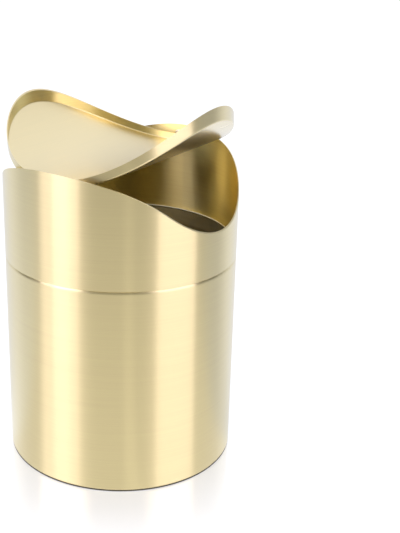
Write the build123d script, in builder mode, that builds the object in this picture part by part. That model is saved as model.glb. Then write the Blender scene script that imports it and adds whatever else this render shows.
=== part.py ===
"""Countertop bin with a lift-off head and a swing lid, all pressed from thin steel sheet.

The bin stands on the XY plane with its axis on Z. The lid turns about an axis parallel to X,
so the two low dips of the head's wave-cut rim face -Y (front) and +Y (back).
All lengths are millimetres and all angles degrees.
"""
from build123d import *
from math import cos, radians, sqrt, tan
import os

# Sheet and overall size
CAN_DIAMETER = 120.0
SHEET = 0.5
SEAM_HEIGHT = 108.8
RIM_HEIGHT = 163.7

# Bottom: rubber ring, turned-in flange of the body, pressed base plate
BASE_RING_HEIGHT = 0.5
BASE_RING_WIDTH = 6.8
BASE_RING_INSET = 0.2
BASE_FLANGE_WIDTH = 9.0
BODY_BEND_RADIUS = 0.5
BASE_PLATE_LIP = 5.0
BASE_PLATE_BEND_RADIUS = 1.2
BASE_FLOOR_DIAMETER = 92.0
BASE_FLOOR_RISE = 3.0
BASE_STEP_WIDTH = 3.0
WELD_GAP = 0.02

# Seam: the head's square edge sits on the rolled-in shoulder of the body
SHOULDER_RADIUS = 3.0
SHOULDER_SLOPE = 30.0
SEAT_GAP = 0.02
EDGE_BREAK = 0.12

# Neck ring that the head drops over
NECK_HEIGHT = 7.4
NECK_DEPTH = 14.0
NECK_CLEARANCE = 0.55
NECK_CURL = 1.2
NECK_BEND_RADIUS = 0.8
NECK_JOGGLE_DROP = 1.5
NECK_JOGGLE_LENGTH = 1.5

# Wave-cut rim of the head: a crown arc, a tighter shoulder arc and a straight slope to each dip
RIM_CROWN_RADIUS = 96.0
RIM_CROWN_ANGLE = 18.3
RIM_SHOULDER_RADIUS = 41.0
RIM_SLOPE = 54.6

# Lid: a round pressing with an arched panel and an upright skirt, trimmed along the arch
LID_CLEARANCE = 2.9
LID_CROWN_DROP = 2.8
LID_ARCH_RADIUS = 74.0
LID_SKIRT_DEPTH = 4.3
LID_CREASE_RADIUS = 1.2
LID_REST_ANGLE = 182.5

# Pivots
PIVOT_DROP = 5.8
EAR_WIDTH = 6.0
EAR_ROOT_RADIUS = 1.5
PIN_DIAMETER = 2.0
PIN_RUNNING_CLEARANCE = 0.05
PIN_REACH = 1.2
STUD_SHANK_DIAMETER = 2.8
STUD_SHOULDER_DIAMETER = 3.8
STUD_SHOULDER_LENGTH = 0.5
PIVOT_PLATE_THICKNESS = 0.8
PIVOT_PLATE_WIDTH = 10.0
PIVOT_PLATE_LENGTH = 6.0
PIVOT_PLATE_CORNER = 2.0
BUSH_BARREL_DIAMETER = 3.0
BUSH_FIT = 0.02
BUSH_FLANGE_DIAMETER = 5.0
BUSH_FLANGE_THICKNESS = 1.2
BUSH_LIP_DIAMETER = 3.5
BUSH_LIP_LENGTH = 0.5
PIN_TIP_CHAMFER = 0.25

# Derived sizes
CAN_RADIUS = CAN_DIAMETER / 2
INNER_RADIUS = CAN_RADIUS - SHEET
NECK_TOP = SEAM_HEIGHT + NECK_HEIGHT
NECK_RADIUS = INNER_RADIUS - NECK_CLEARANCE
SHOULDER_RUN = CAN_RADIUS - NECK_RADIUS - WELD_GAP - SHEET * cos(radians(SHOULDER_SLOPE))
SHOULDER_CORNER = SEAM_HEIGHT - SEAT_GAP - SHEET / tan(radians(SHOULDER_SLOPE))
SHOULDER_TOP = SHOULDER_CORNER + SHOULDER_RUN / tan(radians(SHOULDER_SLOPE))
PIVOT_HEIGHT = RIM_HEIGHT - PIVOT_DROP
LID_RADIUS = INNER_RADIUS - LID_CLEARANCE
LID_CROWN = RIM_HEIGHT - LID_CROWN_DROP
EAR_RADIUS = EAR_WIDTH / 2
FLANGE_INNER_RADIUS = CAN_RADIUS - BASE_FLANGE_WIDTH
ARCH_CENTRE_HEIGHT = LID_CROWN - LID_ARCH_RADIUS
ABOVE_RIM = RIM_HEIGHT + 10

os.makedirs("parts", exist_ok=True)


def finish(part_builder, name):
    """Label a finished piece and write it to its own STEP file."""
    part_builder.part.label = name
    export_step(part_builder.part, f"parts/{name}.step")


def sheet_revolve(skin_points, bend_radii):
    """Revolve one skin line, bent at its corners, into a shell one sheet thick on its left."""
    with BuildPart() as shell:
        with BuildSketch(Plane.XZ):
            with BuildLine():
                skin = FilletPolyline(*skin_points, radius=bend_radii)
                offset(skin, amount=SHEET, side=Side.LEFT)
            make_face()
        revolve(axis=Axis.Z)
    return shell


# ---------------------------------------------------------------- body and its bottom
BASE_RING_OUTER = CAN_RADIUS - BASE_RING_INSET
with BuildPart() as base_ring:
    with BuildSketch(Plane.XY):
        Circle(BASE_RING_OUTER)
        Circle(BASE_RING_OUTER - BASE_RING_WIDTH, mode=Mode.SUBTRACT)
    extrude(amount=BASE_RING_HEIGHT)
    fillet(base_ring.edges().group_by(Axis.Z)[0], BASE_RING_HEIGHT / 3)
finish(base_ring, "base_ring")

body_shell = sheet_revolve(
    [
        (FLANGE_INNER_RADIUS, BASE_RING_HEIGHT),
        (CAN_RADIUS, BASE_RING_HEIGHT),
        (CAN_RADIUS, SHOULDER_CORNER),
        (CAN_RADIUS - SHOULDER_RUN, SHOULDER_TOP),
    ],
    [BODY_BEND_RADIUS + SHEET, SHOULDER_RADIUS],
)
finish(body_shell, "body_shell")

BASE_PLATE_SEAT = BASE_RING_HEIGHT + SHEET
BASE_PLATE_RADIUS = INNER_RADIUS - WELD_GAP
BASE_FLOOR_RADIUS = BASE_FLOOR_DIAMETER / 2
base_plate = sheet_revolve(
    [
        (0, BASE_PLATE_SEAT + BASE_FLOOR_RISE),
        (BASE_FLOOR_RADIUS, BASE_PLATE_SEAT + BASE_FLOOR_RISE),
        (BASE_FLOOR_RADIUS + BASE_STEP_WIDTH, BASE_PLATE_SEAT),
        (BASE_PLATE_RADIUS, BASE_PLATE_SEAT),
        (BASE_PLATE_RADIUS, BASE_PLATE_SEAT + BASE_PLATE_LIP),
    ],
    BASE_PLATE_BEND_RADIUS,
)
finish(base_plate, "base_plate")

# The neck ring is welded inside the body below a small joggle and stands clear of the head above it
neck_ring = sheet_revolve(
    [
        (INNER_RADIUS - WELD_GAP, SEAM_HEIGHT - NECK_DEPTH),
        (INNER_RADIUS - WELD_GAP, SEAM_HEIGHT - NECK_JOGGLE_DROP - NECK_JOGGLE_LENGTH),
        (NECK_RADIUS, SEAM_HEIGHT - NECK_JOGGLE_DROP),
        (NECK_RADIUS, NECK_TOP - NECK_CURL),
        (NECK_RADIUS - NECK_CURL, NECK_TOP),
    ],
    NECK_BEND_RADIUS,
)
finish(neck_ring, "neck_ring")

# ---------------------------------------------------------------- head: wave-cut collar
with BuildPart() as collar_shell:
    with BuildSketch(Plane.XY.offset(SEAM_HEIGHT)):
        Circle(CAN_RADIUS)
        Circle(INNER_RADIUS, mode=Mode.SUBTRACT)
    extrude(amount=ABOVE_RIM - SEAM_HEIGHT)
    seam_edge = collar_shell.edges().group_by(Axis.Z)[0].sort_by(SortBy.RADIUS)[-1]
    chamfer(seam_edge, EDGE_BREAK)
    with BuildSketch(Plane.YZ):
        with BuildLine():
            crown = JernArc((0, RIM_HEIGHT), (1, 0), RIM_CROWN_RADIUS, -RIM_CROWN_ANGLE)
            shoulder = JernArc(crown @ 1, crown % 1, RIM_SHOULDER_RADIUS, RIM_CROWN_ANGLE - RIM_SLOPE)
            slope = PolarLine(shoulder @ 1, CAN_RADIUS, direction=shoulder % 1)
            Polyline(slope @ 1, ((slope @ 1).X, ABOVE_RIM), (0, ABOVE_RIM))
            mirror(about=Plane.YZ)
        make_face()
    extrude(amount=CAN_DIAMETER, both=True, mode=Mode.SUBTRACT)
finish(collar_shell, "collar_shell")

# ---------------------------------------------------------------- pivots, one set at each end
PIVOT_AXIS = Axis((0, 0, PIVOT_HEIGHT), (1, 0, 0))
PLATE_OUTER_RADIUS = INNER_RADIUS - WELD_GAP
PLATE_INNER_RADIUS = PLATE_OUTER_RADIUS - PIVOT_PLATE_THICKNESS
PIN_RADIUS = PIN_DIAMETER / 2
SHOULDER_FACE = PLATE_INNER_RADIUS - STUD_SHOULDER_LENGTH
PIN_TIP = LID_RADIUS - SHEET - BUSH_LIP_LENGTH - PIN_REACH
BUSH_SEAT = LID_RADIUS + BUSH_FIT
BUSH_BORE_RADIUS = PIN_RADIUS + PIN_RUNNING_CLEARANCE
SIDES = {"left": -1, "right": 1}


def pivot_plane(side):
    """Plane of a pivot's half section: x runs out from the can's axis, y up from the pivot axis."""
    return Plane(origin=(0, 0, PIVOT_HEIGHT), x_dir=(side, 0, 0), z_dir=(0, -side, 0))


def make_pivot_plate(side):
    """Pressed pad that follows the inside of the collar and carries the stud."""
    with BuildPart() as plate:
        with BuildSketch(Plane.XY.offset(PIVOT_HEIGHT - PIVOT_PLATE_LENGTH / 2)):
            Circle(PLATE_OUTER_RADIUS)
            Circle(PLATE_INNER_RADIUS, mode=Mode.SUBTRACT)
        extrude(amount=PIVOT_PLATE_LENGTH)
        facing_plane = Plane(origin=(0, 0, PIVOT_HEIGHT), x_dir=(0, 1, 0), z_dir=(side, 0, 0))
        with BuildSketch(facing_plane):
            RectangleRounded(PIVOT_PLATE_WIDTH, PIVOT_PLATE_LENGTH, PIVOT_PLATE_CORNER)
            Circle(STUD_SHANK_DIAMETER / 2 + WELD_GAP, mode=Mode.SUBTRACT)
        extrude(amount=CAN_RADIUS, mode=Mode.INTERSECT)
    return plate


def make_pivot_stud(side):
    """Turned stud: shank riveted in the plate, shoulder against it, pin for the lid's bush."""
    shank_radius = STUD_SHANK_DIAMETER / 2
    shank_end = PLATE_OUTER_RADIUS - WELD_GAP
    with BuildPart() as stud:
        with BuildSketch(pivot_plane(side)):
            with BuildLine():
                Polyline(
                    (PIN_TIP, 0),
                    (PIN_TIP, PIN_RADIUS - PIN_TIP_CHAMFER),
                    (PIN_TIP + PIN_TIP_CHAMFER, PIN_RADIUS),
                    (SHOULDER_FACE, PIN_RADIUS),
                    (SHOULDER_FACE, STUD_SHOULDER_DIAMETER / 2),
                    (PLATE_INNER_RADIUS - WELD_GAP, STUD_SHOULDER_DIAMETER / 2),
                    (PLATE_INNER_RADIUS - WELD_GAP, shank_radius),
                    (shank_end, shank_radius),
                    (shank_end, 0),
                    close=True,
                )
            make_face()
        revolve(axis=PIVOT_AXIS)
    return stud


def make_pivot_bush(side):
    """Nylon bush: flange outside the lid's ear, barrel in its hole, snap lip inside."""
    barrel_radius = BUSH_BARREL_DIAMETER / 2
    lip_radius = BUSH_LIP_DIAMETER / 2
    # The flat lip seats inside the curved ear, so it touches at its sides first
    lip_face = sqrt((LID_RADIUS - SHEET) ** 2 - lip_radius**2) - BUSH_FIT
    lip_end = lip_face - BUSH_LIP_LENGTH
    with BuildPart() as bush:
        with BuildSketch(pivot_plane(side)):
            with BuildLine():
                Polyline(
                    (lip_end, BUSH_BORE_RADIUS),
                    (lip_end, barrel_radius),
                    (lip_face - BUSH_LIP_LENGTH / 3, lip_radius),
                    (lip_face, lip_radius),
                    (lip_face, barrel_radius),
                    (BUSH_SEAT, barrel_radius),
                    (BUSH_SEAT, BUSH_FLANGE_DIAMETER / 2),
                    (BUSH_SEAT + BUSH_FLANGE_THICKNESS, BUSH_FLANGE_DIAMETER / 2),
                    (BUSH_SEAT + BUSH_FLANGE_THICKNESS, BUSH_BORE_RADIUS),
                    close=True,
                )
            make_face()
        revolve(axis=PIVOT_AXIS)
    return bush


for side_name, side in SIDES.items():
    finish(make_pivot_plate(side), f"{side_name}_pivot_plate")
    finish(make_pivot_stud(side), f"{side_name}_pivot_stud")
    finish(make_pivot_bush(side), f"{side_name}_pivot_bush")

# ---------------------------------------------------------------- swing lid
def pressed_form(inset):
    """Solid below the arched panel and inside the upright skirt, with both faces moved in by inset."""
    with BuildPart() as form:
        with BuildSketch(Plane.YZ):
            with Locations((0, ARCH_CENTRE_HEIGHT)):
                Circle(LID_ARCH_RADIUS - inset)
        extrude(amount=CAN_DIAMETER, both=True)
        with BuildSketch(Plane.XY.offset(ARCH_CENTRE_HEIGHT)):
            Circle(LID_RADIUS - inset)
        extrude(amount=LID_ARCH_RADIUS, mode=Mode.INTERSECT)
        panel = form.faces().filter_by(GeomType.CYLINDER).sort_by(Axis.Z)[-1]
        fillet(panel.edges(), LID_CREASE_RADIUS - inset)
    return form


with BuildPart() as closed_lid:
    add(pressed_form(0).part)
    add(pressed_form(SHEET).part, mode=Mode.SUBTRACT)
    # The skirt is trimmed to its depth, and an ear is left standing at each end for the bush
    with BuildSketch(Plane.YZ) as trim:
        with Locations((0, ARCH_CENTRE_HEIGHT)):
            Circle(LID_ARCH_RADIUS - LID_SKIRT_DEPTH)
        with Locations((0, PIVOT_HEIGHT)):
            Circle(EAR_RADIUS, mode=Mode.SUBTRACT)
        ear_roots = trim.vertices().sort_by(Axis.Z)[-2:]
        fillet(ear_roots, EAR_ROOT_RADIUS)
    extrude(amount=CAN_DIAMETER, both=True, mode=Mode.SUBTRACT)
    with BuildSketch(Plane.YZ):
        with Locations((0, PIVOT_HEIGHT)):
            Circle(BUSH_BARREL_DIAMETER / 2 + BUSH_FIT)
    extrude(amount=CAN_DIAMETER, both=True, mode=Mode.SUBTRACT)

# The lid is stored turned over about its pivots, its dish upwards and its front edge a little high
PIVOT_CENTRE = Location((0, 0, PIVOT_HEIGHT))
LID_AT_REST = PIVOT_CENTRE * Location((0, 0, 0), (-LID_REST_ANGLE, 0, 0)) * PIVOT_CENTRE.inverse()
with BuildPart() as lid_shell:
    with Locations(LID_AT_REST):
        add(closed_lid.part)
finish(lid_shell, "lid_shell")
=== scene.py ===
"""Looks for the countertop trash can: brushed brass-coloured steel with a swing lid, on a white studio floor.

Lengths are metres in the row frame: X along the lid's pivots, -Y the front, Z up from the floor.
Colours are linear.
"""

import math

import bpy
from mathutils import Matrix, Vector

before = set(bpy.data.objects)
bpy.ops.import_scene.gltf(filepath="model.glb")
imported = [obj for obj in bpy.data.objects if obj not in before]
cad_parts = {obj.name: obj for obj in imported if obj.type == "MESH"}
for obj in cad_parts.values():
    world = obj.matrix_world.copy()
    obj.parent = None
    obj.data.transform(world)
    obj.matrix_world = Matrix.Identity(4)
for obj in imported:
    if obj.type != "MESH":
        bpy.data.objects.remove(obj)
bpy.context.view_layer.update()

WHITE = (1.0, 1.0, 1.0, 1.0)

# The camera's place as seen from the can's axis on the floor, its angles in radians and its lens in mm.
# The azimuth goes from -Y towards -X.
CAMERA_AZIMUTH = math.radians(54.5)
CAMERA_DISTANCE = 0.5005
CAMERA_HEIGHT = 0.2897
CAMERA_PITCH = 0.3641
CAMERA_ROLL = 0.003
CAMERA_LENS = 68.77
CAMERA_SENSOR = 36.0
CAMERA_SHIFT_X = 0.1486

# The studio's front is the side where the camera stands, and its right is the camera's right.
TOWARDS_CAMERA = Vector((-math.sin(CAMERA_AZIMUTH), -math.cos(CAMERA_AZIMUTH), 0.0))
CAMERA_RIGHT = Vector((math.cos(CAMERA_AZIMUTH), -math.sin(CAMERA_AZIMUTH), 0.0))

# Where the front and the back fade into the sides, as cosines from the front, and where the left fades into
# the right, as cosines from the right.
FRONT_EDGE = (-0.05, 0.30)
BACK_EDGE = (-0.65, -0.20)
RIGHT_EDGE = (-0.20, 0.20)

# How bright each side of the room looks below and above its edge, and how bright the ceiling looks.
# The edges are sines of the height over the horizon.
ROOM_LOW = {"front": 0.0, "left": 0.0, "right": 0.0, "back": 0.70}
ROOM_MID = {"front": 0.47, "left": 0.75, "right": 0.78, "back": 0.97}
ROOM_EDGE = (0.30, 0.58)
CEILING = 0.85
CEILING_EDGE = (0.65, 0.90)

# Light from the sides and the back is a little cooler than light from the front.
FRONT_TINT = WHITE
SIDE_TINT = (0.98, 1.03, 1.16, 1.0)

# Two rows of softboxes stand round the can, one above the other.
SOFTBOX_DISTANCE = 1.3
SOFTBOX_HEIGHT = 0.72
SOFTBOX_TALL = 0.7
SOFTBOX_AIM = Vector((0.0, 0.0, 0.12))
SOFTBOX_COLOUR = (1.0, 0.95, 1.22)
LOWER_ROW = -SOFTBOX_TALL / 2
UPPER_ROW = SOFTBOX_TALL / 2

# Each softbox: degrees round the can from the front, positive to the right, then width, row and brightness.
SOFTBOXES = {"left_low": (-53.5, 0.755, LOWER_ROW, 1.85), "left_core": (-57.0, 0.42, LOWER_ROW, 0.9),
             "left_far": (-74.0, 0.31, LOWER_ROW, 1.5), "left_high": (-64.0, 1.25, UPPER_ROW, 2.6),
             "right_low": (53.8, 1.10, LOWER_ROW, 2.08), "right_high": (53.8, 1.10, UPPER_ROW, 1.62)}

FLOOR_REACH = 4.0

# How bright the floor looks in the metal. In front it fades between two distances from the can's axis.
FLOOR_FRONT = (0.98, 0.62)
FLOOR_FADE = (0.15, 0.90)
FLOOR_LEVELS = {"left": 1.06, "right": 0.84, "back": 0.92}

# A faint streak of light runs out along that floor: its cosine from the right, how far off that it starts to
# fade and ends, and how much it adds.
STREAK_PLACE = 0.12
STREAK_EDGE = (0.02, 0.12)
STREAK_GAIN = 0.12

# The floor as the eye sees it: matte with a white glow, and a polish that shows most close to the can.
FLOOR_MATTE = (0.30, 0.30, 0.30, 1.0)
FLOOR_GLOW = 0.85
POLISH_SHARE = (0.36, 0.06)
POLISH_FADE = (0.060, 0.120)
POLISH_ROUGHNESS = 0.10
POLISH_IOR = 1.5

# The finishes: colours first, then how rough each one is.
GOLD = (0.97, 0.785, 0.40)
INSIDE_GOLD = (0.98, 0.76, 0.31)
LID_GOLD = (0.95, 0.79, 0.43)
STEEL = (0.77, 0.75, 0.65)
PIN_STEEL = (0.60, 0.59, 0.58)
NYLON = (0.82, 0.81, 0.78)
RUBBER = (0.09, 0.08, 0.055)

WALL_ROUGHNESS = 0.31
INSIDE_ROUGHNESS = 0.35
LID_ROUGHNESS = 0.38
LID_OUTER_ROUGHNESS = 0.26
STEEL_ROUGHNESS = 0.35
PIN_ROUGHNESS = 0.25
NYLON_ROUGHNESS = 0.45
RUBBER_ROUGHNESS = 0.6

# The shares by which each finish gets darker and lighter than its colour, and how far its roughness strays.
WALL_TONES = (0.09, 0.09)
INSIDE_TONES = (0.16, 0.16)
LID_TONES = (0.03, 0.03)
STEEL_TONES = (0.08, 0.06)
MOULDED_TONES = (0.15, 0.10)
BRUSHED_STRAY = 0.03
STEEL_STRAY = 0.06
MOULDED_STRAY = 0.05

# Marks per metre along X, Y and Z. Brush lines are long round the can, or along the lid's pivots, and fine
# across.
FINE_BRUSHING = (25.0, 25.0, 3200.0)
BROAD_BRUSHING = (12.0, 12.0, 500.0)
LID_BRUSHING = (30.0, 1800.0, 1800.0)
ROLLED_GRAIN = (60.0, 60.0, 900.0)
MOULDED_GRAIN = (2500.0, 2500.0, 2500.0)

# Octaves of noise in fine and in broad marks, and the share that the fine ones have in a brushed wall.
FINE_DETAIL = 3.0
BROAD_DETAIL = 2.0
FINE_SHARE = 0.6

# The clear lacquer over the gold.
COAT_ROUGHNESS = 0.30
COAT_IOR = 1.5

# A quarter turn, so that the stretched highlight lies across the brush lines.
HIGHLIGHT_TURN = 0.25

# A point's way out from the axis, times its normal, is the radius on an outside wall and minus the radius on
# a wall that faces the axis.
INSIDE_EDGE = (-0.03, -0.01)

# Where the lid's outer face turns into its inner one, and its skirt into its panel, as the upright part of
# the normal.
FACE_EDGE = (-0.1, 0.1)
PANEL_EDGE = (0.25, 0.65)


def add(tree, kind, inputs=None, **settings):
    """A node of that kind, with its settings and its inputs, which are values or sockets."""
    node = tree.nodes.new(kind)
    for name, value in settings.items():
        setattr(node, name, value)
    for name, value in (inputs or {}).items():
        if isinstance(value, bpy.types.NodeSocket):
            tree.links.new(value, node.inputs[name])
        else:
            node.inputs[name].default_value = value
    return node


def math_node(tree, operation, first, second=0.0):
    """The output of a Math node."""
    return add(tree, "ShaderNodeMath", {0: first, 1: second}, operation=operation).outputs[0]


def total(tree, terms):
    """The sum of products of sockets or numbers."""
    whole = None
    for factors in terms:
        product = factors[0]
        for factor in factors[1:]:
            product = math_node(tree, "MULTIPLY", product, factor)
        whole = product if whole is None else math_node(tree, "ADD", whole, product)
    return whole


def vector_node(tree, operation, first, second, output="Vector"):
    """An output of a Vector Math node."""
    return add(tree, "ShaderNodeVectorMath", {0: first, 1: second}, operation=operation).outputs[output]


def along(tree, way, axis):
    """The cosine of the angle between two directions."""
    direction = add(tree, "ShaderNodeVectorMath", {0: way}, operation="NORMALIZE").outputs["Vector"]
    return vector_node(tree, "DOT_PRODUCT", direction, axis, "Value")


def smooth_step(tree, value, edge, before, after):
    """One number below the edge and another above it, joined by a smooth curve over the value."""
    start, end = edge
    return add(tree, "ShaderNodeMapRange", {"Value": value, "From Min": start, "From Max": end,
                                            "To Min": before, "To Max": after},
               interpolation_type="SMOOTHSTEP").outputs["Result"]


def stray(tree, pattern, middle, reach):
    """The pattern, from 0 to 1, as a value that strays from the middle by up to reach."""
    return add(tree, "ShaderNodeMapRange", {"Value": pattern, "To Min": middle - reach,
                                            "To Max": middle + reach}).outputs["Result"]


def mix_shaders(tree, share, first, second):
    """A mix of two shaders' outputs, by the second one's share."""
    return add(tree, "ShaderNodeMixShader", {0: share, 1: first, 2: second}).outputs[0]


def marks(tree, scale, detail):
    """Noise from 0 to 1 on the piece's own coordinates, stretched by scale along each axis."""
    place = add(tree, "ShaderNodeTexCoord").outputs["Object"]
    stretched = vector_node(tree, "MULTIPLY", place, scale)
    noise = add(tree, "ShaderNodeTexNoise", {"Vector": stretched, "Scale": 1.0, "Detail": detail})
    return noise.outputs["Fac"]


def new_material(name):
    """A material, its emptied node tree, and the surface input of its output."""
    material = bpy.data.materials.new(name)
    material.use_nodes = True
    tree = material.node_tree
    tree.nodes.clear()
    return material, tree, tree.nodes.new("ShaderNodeOutputMaterial").inputs["Surface"]


def toned_shader(tree, pattern, colour, tones, roughness, metallic=1.0):
    """A shader whose colour follows the pattern. Its roughness is a value or a socket."""
    darker, lighter = tones
    dark = tuple(part * (1.0 - darker) for part in colour) + (1.0,)
    light = tuple(min(part * (1.0 + lighter), 1.0) for part in colour) + (1.0,)
    tone = add(tree, "ShaderNodeMix", {"Factor": pattern, "A": dark, "B": light}, data_type="RGBA")
    return add(tree, "ShaderNodeBsdfPrincipled",
               {"Base Color": tone.outputs["Result"], "Roughness": roughness, "Metallic": metallic})


def lacquer(shader):
    """A thin clear coat over the metal."""
    shader.inputs["Coat Weight"].default_value = 1.0
    shader.inputs["Coat Roughness"].default_value = COAT_ROUGHNESS
    shader.inputs["Coat IOR"].default_value = COAT_IOR


def brushed_shader(tree, colour, tones, roughness):
    """A shader for metal brushed round the Z axis."""
    fine = marks(tree, FINE_BRUSHING, FINE_DETAIL)
    broad = marks(tree, BROAD_BRUSHING, BROAD_DETAIL)
    lines = total(tree, [(fine, FINE_SHARE), (broad, 1.0 - FINE_SHARE)])
    shader = toned_shader(tree, lines, colour, tones, stray(tree, lines, roughness, BRUSHED_STRAY))
    shader.inputs["Anisotropic"].default_value = 1.0
    shader.inputs["Anisotropic Rotation"].default_value = HIGHLIGHT_TURN
    tangent = add(tree, "ShaderNodeTangent", direction_type="RADIAL", axis="Z")
    tree.links.new(tangent.outputs[0], shader.inputs["Tangent"])
    return shader


def facing_axis(tree):
    """1 on walls that face the can's axis and 0 on all others."""
    surface = add(tree, "ShaderNodeTexCoord")
    outwards = vector_node(tree, "MULTIPLY", surface.outputs["Object"], (1.0, 1.0, 0.0))
    product = vector_node(tree, "DOT_PRODUCT", outwards, surface.outputs["Normal"], "Value")
    return smooth_step(tree, product, INSIDE_EDGE, 1.0, 0.0)


def brushed_wall(tree):
    """Brushed gold: lacquered outside and bare inside."""
    outside = brushed_shader(tree, GOLD, WALL_TONES, WALL_ROUGHNESS)
    lacquer(outside)
    inside = brushed_shader(tree, INSIDE_GOLD, INSIDE_TONES, INSIDE_ROUGHNESS)
    return mix_shaders(tree, facing_axis(tree), outside.outputs[0], inside.outputs[0])


def brushed_gold():
    """The finish of the body and the collar."""
    material, tree, surface = new_material("brushed_gold")
    tree.links.new(brushed_wall(tree), surface)
    return material


def lid_gold():
    """The finish of the lid: a satin panel with faint lines along the pivots, and a skirt like the walls."""
    material, tree, surface = new_material("lid_gold")
    normal = add(tree, "ShaderNodeTexCoord").outputs["Normal"]
    upright = add(tree, "ShaderNodeSeparateXYZ", {0: normal}).outputs["Z"]
    lines = marks(tree, LID_BRUSHING, FINE_DETAIL)
    # The outer face, which points down while the lid is turned over, is smoother.
    outer = smooth_step(tree, upright, FACE_EDGE, LID_OUTER_ROUGHNESS - LID_ROUGHNESS, 0.0)
    roughness = math_node(tree, "ADD", stray(tree, lines, LID_ROUGHNESS, BRUSHED_STRAY), outer)
    panel = toned_shader(tree, lines, LID_GOLD, LID_TONES, roughness)
    lacquer(panel)
    flat = smooth_step(tree, math_node(tree, "ABSOLUTE", upright), PANEL_EDGE, 0.0, 1.0)
    tree.links.new(mix_shaders(tree, flat, brushed_wall(tree), panel.outputs[0]), surface)
    return material


def plain_metal(name, colour, roughness):
    """Bare steel with a faint uneven finish."""
    material, tree, surface = new_material(name)
    grain = marks(tree, ROLLED_GRAIN, FINE_DETAIL)
    shader = toned_shader(tree, grain, colour, STEEL_TONES, stray(tree, grain, roughness, STEEL_STRAY))
    tree.links.new(shader.outputs[0], surface)
    return material


def moulded(name, colour, roughness):
    """Moulded rubber or plastic with a fine matte grain."""
    material, tree, surface = new_material(name)
    grain = marks(tree, MOULDED_GRAIN, BROAD_DETAIL)
    shader = toned_shader(tree, grain, colour, MOULDED_TONES, stray(tree, grain, roughness, MOULDED_STRAY),
                          metallic=0.0)
    tree.links.new(shader.outputs[0], surface)
    return material


def dress_nodes():
    """Gives every CAD node its material."""
    finishes = {"gold_steel": brushed_gold(),
                "lid_steel": lid_gold(),
                "plain_steel": plain_metal("plain_steel_finish", STEEL, STEEL_ROUGHNESS),
                "pin_steel": plain_metal("pin_steel_finish", PIN_STEEL, PIN_ROUGHNESS),
                "nylon": moulded("nylon_finish", NYLON, NYLON_ROUGHNESS),
                "black_rubber": moulded("rubber_finish", RUBBER, RUBBER_ROUGHNESS)}
    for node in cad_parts.values():
        for place in node.material_slots:
            place.material = finishes[place.material.name]


def stand(name, data, place, target, roll=0.0):
    """A camera or a lamp that stands at place, looking at target."""
    thing = bpy.data.objects.new(name, data)
    bpy.context.scene.collection.objects.link(thing)
    turn = (target - place).to_track_quat("-Z", "Y").to_matrix().to_4x4()
    thing.matrix_world = Matrix.Translation(place) @ turn @ Matrix.Rotation(roll, 4, "Z")
    return thing


def make_camera():
    """The camera, at the studio's front and above the can, looking down at it."""
    data = bpy.data.cameras.new("camera")
    data.sensor_width = CAMERA_SENSOR
    data.sensor_fit = "AUTO"
    data.lens = CAMERA_LENS
    data.shift_x = CAMERA_SHIFT_X
    place = TOWARDS_CAMERA * CAMERA_DISTANCE + Vector((0.0, 0.0, CAMERA_HEIGHT))
    ahead = -TOWARDS_CAMERA * math.cos(CAMERA_PITCH) + Vector((0.0, 0.0, -math.sin(CAMERA_PITCH)))
    bpy.context.scene.camera = stand("camera", data, place, place + ahead, CAMERA_ROLL)


def make_softbox(name, angle, width, row, brightness):
    """A rectangular lamp that faces the can, its middle moved up or down its own plane to its row."""
    data = bpy.data.lights.new(name, "AREA")
    data.shape = "RECTANGLE"
    data.size = width
    data.size_y = SOFTBOX_TALL
    data.energy = brightness * width * SOFTBOX_TALL * math.pi
    data.color = SOFTBOX_COLOUR
    turn = math.radians(angle)
    away = TOWARDS_CAMERA * math.cos(turn) + CAMERA_RIGHT * math.sin(turn)
    place = away * SOFTBOX_DISTANCE + Vector((0.0, 0.0, SOFTBOX_HEIGHT))
    lamp = stand(name, data, place, SOFTBOX_AIM)
    lamp.matrix_world = lamp.matrix_world @ Matrix.Translation((0.0, row, 0.0))


def zones(tree, way):
    """How far a direction lies to the front, left, right and back of the studio, adding up to 1."""
    ahead = along(tree, way, TOWARDS_CAMERA)
    across = along(tree, way, CAMERA_RIGHT)
    front = smooth_step(tree, ahead, FRONT_EDGE, 0.0, 1.0)
    back = smooth_step(tree, ahead, BACK_EDGE, 1.0, 0.0)
    side = math_node(tree, "SUBTRACT", math_node(tree, "SUBTRACT", 1.0, front), back)
    right = math_node(tree, "MULTIPLY", side, smooth_step(tree, across, RIGHT_EDGE, 0.0, 1.0))
    left = math_node(tree, "SUBTRACT", side, right)
    return {"front": front, "left": left, "right": right, "back": back}


def tinted(tree, front):
    """The light's colour, by how far it comes from the front."""
    return add(tree, "ShaderNodeMix", {"Factor": front, "A": SIDE_TINT, "B": FRONT_TINT},
               data_type="RGBA").outputs["Result"]


def seen_directly(tree):
    """1 where the eye meets a surface straight on or through glass, and 0 in a reflection or bounce."""
    path = add(tree, "ShaderNodeLightPath")
    return math_node(tree, "MAXIMUM", path.outputs["Is Camera Ray"], path.outputs["Is Transmission Ray"])


def floor_in_metal(tree, place, far, mirror):
    """The floor as the metal shows it: lit by zones, with its streak, under a polish."""
    sides = zones(tree, place)
    off = math_node(tree, "SUBTRACT", along(tree, place, CAMERA_RIGHT), STREAK_PLACE)
    streak = smooth_step(tree, math_node(tree, "ABSOLUTE", off), STREAK_EDGE, 1.0, 0.0)
    ahead = total(tree, [(smooth_step(tree, far, FLOOR_FADE, *FLOOR_FRONT),), (streak, STREAK_GAIN)])
    around = [(sides[side], level) for side, level in FLOOR_LEVELS.items()]
    strength = total(tree, [(sides["front"], ahead)] + around)
    lit = add(tree, "ShaderNodeEmission", {"Color": tinted(tree, sides["front"]), "Strength": strength})
    grazing = add(tree, "ShaderNodeFresnel", {"IOR": POLISH_IOR}).outputs[0]
    return mix_shaders(tree, grazing, lit.outputs[0], mirror)


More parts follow.
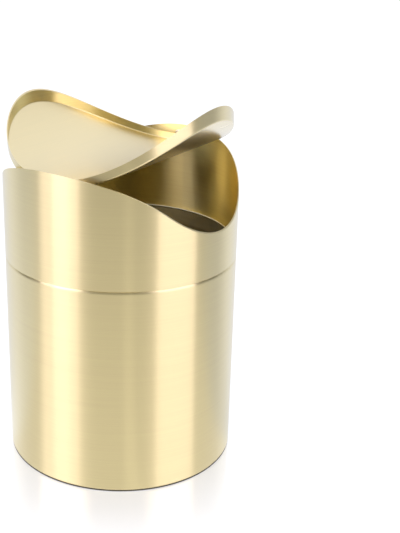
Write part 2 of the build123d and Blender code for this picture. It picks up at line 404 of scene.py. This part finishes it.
def floor_to_the_eye(tree, far, mirror):
    """The floor as the eye sees it: white, with the can's shadow and a faint mirror image of the can."""
    matte = add(tree, "ShaderNodeBsdfDiffuse", {"Color": FLOOR_MATTE})
    glow = add(tree, "ShaderNodeEmission", {"Strength": FLOOR_GLOW})
    white = add(tree, "ShaderNodeAddShader", {0: matte.outputs[0], 1: glow.outputs[0]})
    polish = smooth_step(tree, far, POLISH_FADE, *POLISH_SHARE)
    return mix_shaders(tree, polish, white.outputs[0], mirror)


def make_floor():
    """One large white square under the can."""
    mesh = bpy.data.meshes.new("floor")
    corners = [(-FLOOR_REACH, -FLOOR_REACH, 0.0), (FLOOR_REACH, -FLOOR_REACH, 0.0),
               (FLOOR_REACH, FLOOR_REACH, 0.0), (-FLOOR_REACH, FLOOR_REACH, 0.0)]
    mesh.from_pydata(corners, [], [(0, 1, 2, 3)])
    floor = bpy.data.objects.new("floor", mesh)
    bpy.context.scene.collection.objects.link(floor)
    material, tree, surface = new_material("floor_white")
    place = add(tree, "ShaderNodeNewGeometry").outputs["Position"]
    far = add(tree, "ShaderNodeVectorMath", {0: place}, operation="LENGTH").outputs["Value"]
    mirror = add(tree, "ShaderNodeBsdfGlossy", {"Roughness": POLISH_ROUGHNESS, "Color": WHITE}).outputs[0]
    in_metal = floor_in_metal(tree, place, far, mirror)
    to_the_eye = floor_to_the_eye(tree, far, mirror)
    tree.links.new(mix_shaders(tree, seen_directly(tree), in_metal, to_the_eye), surface)
    mesh.materials.append(material)


def make_world():
    """The room: zones of light in the metal, and plain white straight to the eye."""
    world = bpy.data.worlds.new("studio")
    bpy.context.scene.world = world
    world.use_nodes = True
    tree = world.node_tree
    tree.nodes.clear()
    surface = tree.nodes.new("ShaderNodeOutputWorld").inputs["Surface"]
    way = add(tree, "ShaderNodeTexCoord").outputs["Generated"]
    height = add(tree, "ShaderNodeSeparateXYZ", {0: way}).outputs["Z"]
    sides = zones(tree, way)
    walls = total(tree, [(share, smooth_step(tree, height, ROOM_EDGE, ROOM_LOW[side], ROOM_MID[side]))
                         for side, share in sides.items()])
    overhead = smooth_step(tree, height, CEILING_EDGE, 0.0, 1.0)
    strength = add(tree, "ShaderNodeMix", {"Factor": overhead, "A": walls, "B": CEILING}).outputs["Result"]
    room = add(tree, "ShaderNodeBackground", {"Color": tinted(tree, sides["front"]), "Strength": strength})
    white = add(tree, "ShaderNodeBackground", {"Color": WHITE, "Strength": 1.0})
    tree.links.new(mix_shaders(tree, seen_directly(tree), room.outputs[0], white.outputs[0]), surface)


dress_nodes()
make_camera()
for name, (angle, width, row, brightness) in SOFTBOXES.items():
    make_softbox(name, angle, width, row, brightness)
make_floor()
make_world()
bpy.context.scene.view_settings.view_transform = "Standard"
